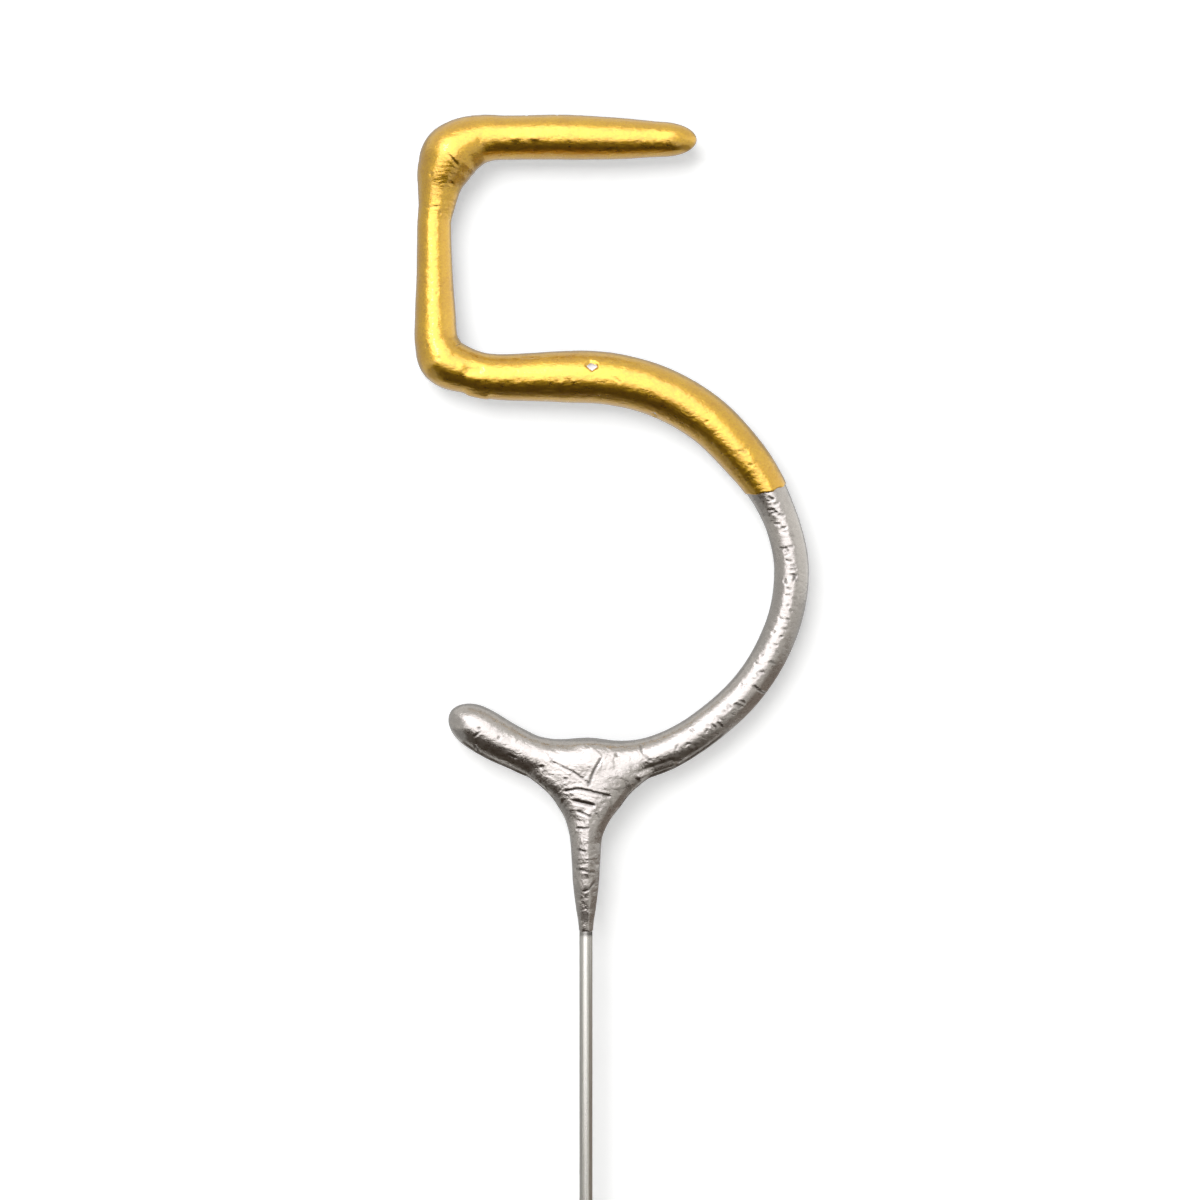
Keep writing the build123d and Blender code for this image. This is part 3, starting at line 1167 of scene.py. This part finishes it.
class SPARKLER_OT_stem_wire(bpy.types.Operator):
    """Make the drawn wire of the stem"""

    bl_idname = "sparkler.stem_wire"
    bl_label = "Stem Wire"

    def execute(self, context):
        sizes = context.scene.sparkler_sizes
        material = steel_material("drawn_steel_wire", context.scene.sparkler_colours.steel, roughness=0.2)
        build = bmesh.new()
        radius = sizes.wire_radius
        top = sizes.coat_end + STEM_LAP * MM
        heights = [0.0, STEM_EDGE * MM, *np.arange(STEM_FIRST_RING * MM, top, STEM_PITCH * MM), top]
        reach = [STEM_EDGE_SHARE * radius, *[radius] * (len(heights) - 1)]
        turn = np.linspace(0, 2 * np.pi, ROUND_SIDES, endpoint=False)
        rings = [
            [build.verts.new((size * math.cos(t), size * math.sin(t), height)) for t in turn]
            for height, size in zip(heights, reach)
        ]
        close_rings(build, rings)
        mesh = built_mesh("stem_wire", build)
        mesh.materials.append(material)
        points, _ = read_points(mesh)
        end = sizes.coat_end / MM
        # Painted shade in a ring just under the coat's end, deeper on the right side, away from the key light
        ring = np.exp(-(((points[:, 2] - end + RING_DROP) / RING_WIDTH) ** 2))
        write_attribute(mesh, "painted_shade", ring * (RING_SHADE + RING_RIGHT_SHADE * points[:, 0] / WIRE_SIZE))
        hold(add_piece("drawn_stem", mesh), "drawn_steel", "stem_wire")
        return {"FINISHED"}


class SPARKLER_OT_inner_pieces(bpy.types.Operator):
    """Give the wire, the weld and the first dip inside the bead their materials"""

    bl_idname = "sparkler.inner_pieces"
    bl_label = "Inner Pieces"

    def execute(self, context):
        steel = context.scene.sparkler_colours.steel
        finishes = {
            "numeral_wire": steel_material("bent_steel_wire", steel, roughness=0.3),
            "weld_nugget": steel_material("welded_steel", linear(WELD_COLOUR), roughness=0.45),
            "base_dip": composition_material("base_composition", linear(BASE_COLOUR), grain=0.5 * MM),
        }
        for name, material in finishes.items():
            mesh = frame["nodes"][name].data
            mesh.materials.clear()
            mesh.materials.append(material)
        return {"FINISHED"}


def plain_plane(name, low, high):
    """Flat plane of the stage between two opposite corners that share one coordinate, in metres."""
    first, second = [axis for axis in range(3) if low[axis] != high[axis]]
    corners = [list(low) for _ in range(4)]
    corners[1][first] = corners[2][first] = high[first]
    corners[2][second] = corners[3][second] = high[second]
    mesh = bpy.data.meshes.new(name)
    mesh.from_pydata(corners, [], [(0, 1, 2, 3)])
    plane = bpy.data.objects.new(name, mesh)
    bpy.context.scene.collection.objects.link(plane)
    return plane


def seen_rays(tree):
    """Output that is 1 for the rays of the camera, of reflections and of clear pieces, and 0 for the rest."""
    path = put(tree, "ShaderNodeLightPath").outputs
    seen = calc(tree, "MAXIMUM", path["Is Camera Ray"], path["Is Glossy Ray"])
    return calc(tree, "MAXIMUM", seen, path["Is Transmission Ray"])


def glow_material(name, albedo, glow):
    """Pale matt surface that also glows for the rays that see it: its material, its tree and its shader."""
    material, tree = new_material(name)
    strength = calc(tree, "MULTIPLY", seen_rays(tree), glow)
    matt = put(tree, "ShaderNodeBsdfDiffuse", {"Color": albedo})
    shine = put(tree, "ShaderNodeEmission", {"Strength": strength})
    both = put(tree, "ShaderNodeAddShader", {0: matt.outputs[0], 1: shine.outputs[0]})
    return material, tree, both.outputs[0]


def reflected_card(name, low, high, glow, colour):
    """Card of the stage that is seen in reflections alone, of an even brightness."""
    card = plain_plane(name, low, high)
    material, tree = new_material(name)
    shine = put(tree, "ShaderNodeEmission", {"Color": colour, "Strength": glow})
    put(tree, "ShaderNodeOutputMaterial", {"Surface": shine.outputs[0]})
    card.data.materials.append(material)
    card.visible_camera = card.visible_diffuse = card.visible_shadow = card.visible_transmission = False


def add_lamp(name, turn, rise, distance, width, height, radiance, colour):
    """Softbox of that radiance, so many degrees to the right of the camera's side and above it."""
    lamp = bpy.data.lights.new(name, "AREA")
    lamp.shape = "RECTANGLE"
    lamp.size = width
    lamp.size_y = height
    lamp.energy = radiance * math.pi * width * height
    lamp.color = colour
    across, up = math.radians(turn), math.radians(rise)
    way = Vector((math.sin(across) * math.cos(up), -math.cos(across) * math.cos(up), math.sin(up)))
    thing = bpy.data.objects.new(name, lamp)
    thing.location = Vector(LAMP_AIM) + distance * way
    thing.rotation_euler = way.to_track_quat("Z", "Y").to_euler()
    thing.visible_camera = False
    bpy.context.scene.collection.objects.link(thing)
    return thing


class SPARKLER_OT_stage(bpy.types.Operator):
    """Set up the floor, the white card behind the numeral, the lamps, the world and the camera"""

    bl_idname = "sparkler.stage"
    bl_label = "Stage"

    def execute(self, context):
        scene = context.scene
        scene.view_settings.view_transform = "Standard"
        scene.cycles.caustics_reflective = False
        floor = plain_plane("floor", (-FLOOR_REACH, -FLOOR_REACH, 0.0), (FLOOR_REACH, FLOOR_REACH, 0.0))
        material, tree, shader = glow_material("pale_floor", linear(FLOOR_COLOUR), FLOOR_GLOW)
        put(tree, "ShaderNodeOutputMaterial", {"Surface": shader})
        floor.data.materials.append(material)

        # The card is clear from behind, so that the back of the numeral can be seen
        card = plain_plane("white_card", (-CARD_REACH, CARD_DEPTH, 0.0), (CARD_REACH, CARD_DEPTH, CARD_TOP))
        material, tree, shader = glow_material("white_card", linear(CARD_COLOUR), CARD_GLOW)
        behind = put(tree, "ShaderNodeNewGeometry").outputs["Backfacing"]
        clear = put(tree, "ShaderNodeBsdfTransparent")
        one_sided = put(tree, "ShaderNodeMixShader", {0: behind, 1: shader, 2: clear.outputs[0]})
        put(tree, "ShaderNodeOutputMaterial", {"Surface": one_sided.outputs[0]})
        card.data.materials.append(material)
        card.visible_glossy = card.visible_diffuse = card.visible_shadow = card.visible_transmission = False
        for row in REFLECTED_CARDS:
            reflected_card(*row)

        # The key lamps show in gloss alone, and the shade lamp lights matt surfaces alone
        for row in KEY_LAMPS:
            add_lamp(*row, KEY_COLOUR).visible_diffuse = False
        add_lamp(*SHADE_LAMP, SHADE_COLOUR).visible_glossy = False

        world = bpy.data.worlds.new("studio")
        world.use_nodes = True
        tree = world.node_tree
        tree.nodes.clear()
        strength = ranged(tree, seen_rays(tree), (0.0, 1.0), WORLD_STRENGTHS)
        sky = put(tree, "ShaderNodeBackground", {"Color": WHITE, "Strength": strength})
        put(tree, "ShaderNodeOutputWorld", {"Surface": sky.outputs[0]})
        scene.world = world

        camera = bpy.data.cameras.new("camera")
        camera.lens = 100
        camera.sensor_width = 36
        camera.clip_start = 0.01
        eye = bpy.data.objects.new("camera", camera)
        eye.location = [value * MM for value in CAMERA_PLACE]
        eye.rotation_euler = (math.pi / 2, 0, 0)
        scene.collection.objects.link(eye)
        scene.camera = eye
        return {"FINISHED"}


class SPARKLER_PT_panel(bpy.types.Panel):
    """Pieces of the sparkler and their sizes"""

    bl_label = "Number Sparkler"
    bl_space_type = "VIEW_3D"
    bl_region_type = "UI"
    bl_category = "Sparkler"

    def draw(self, context):
        for group in (context.scene.sparkler_sizes, context.scene.sparkler_colours):
            for name in group.__annotations__:
                self.layout.prop(group, name)
        for operator in OPERATORS:
            self.layout.operator(operator.bl_idname)


OPERATORS = (
    SPARKLER_OT_inner_pieces,
    SPARKLER_OT_finish_paste,
    SPARKLER_OT_silver_paint,
    SPARKLER_OT_gold_paint,
    SPARKLER_OT_stem_wire,
    SPARKLER_OT_stage,
)
CLASSES = (SparklerSizes, SparklerColours, *OPERATORS, SPARKLER_PT_panel)


def register():
    """Add the classes and the sparkler's properties to Blender."""
    for each in CLASSES:
        bpy.utils.register_class(each)
    bpy.types.Scene.sparkler_sizes = PointerProperty(type=SparklerSizes)
    bpy.types.Scene.sparkler_colours = PointerProperty(type=SparklerColours)


def unregister():
    """Take the classes and the properties out again."""
    del bpy.types.Scene.sparkler_sizes
    del bpy.types.Scene.sparkler_colours
    for each in reversed(CLASSES):
        bpy.utils.unregister_class(each)


def main():
    """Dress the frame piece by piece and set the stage."""
    register()
    bpy.ops.sparkler.inner_pieces()
    bpy.ops.sparkler.finish_paste()
    bpy.ops.sparkler.silver_paint()
    bpy.ops.sparkler.gold_paint()
    bpy.ops.sparkler.stem_wire()
    bpy.ops.sparkler.stage()


if __name__ == "__main__":
    main()
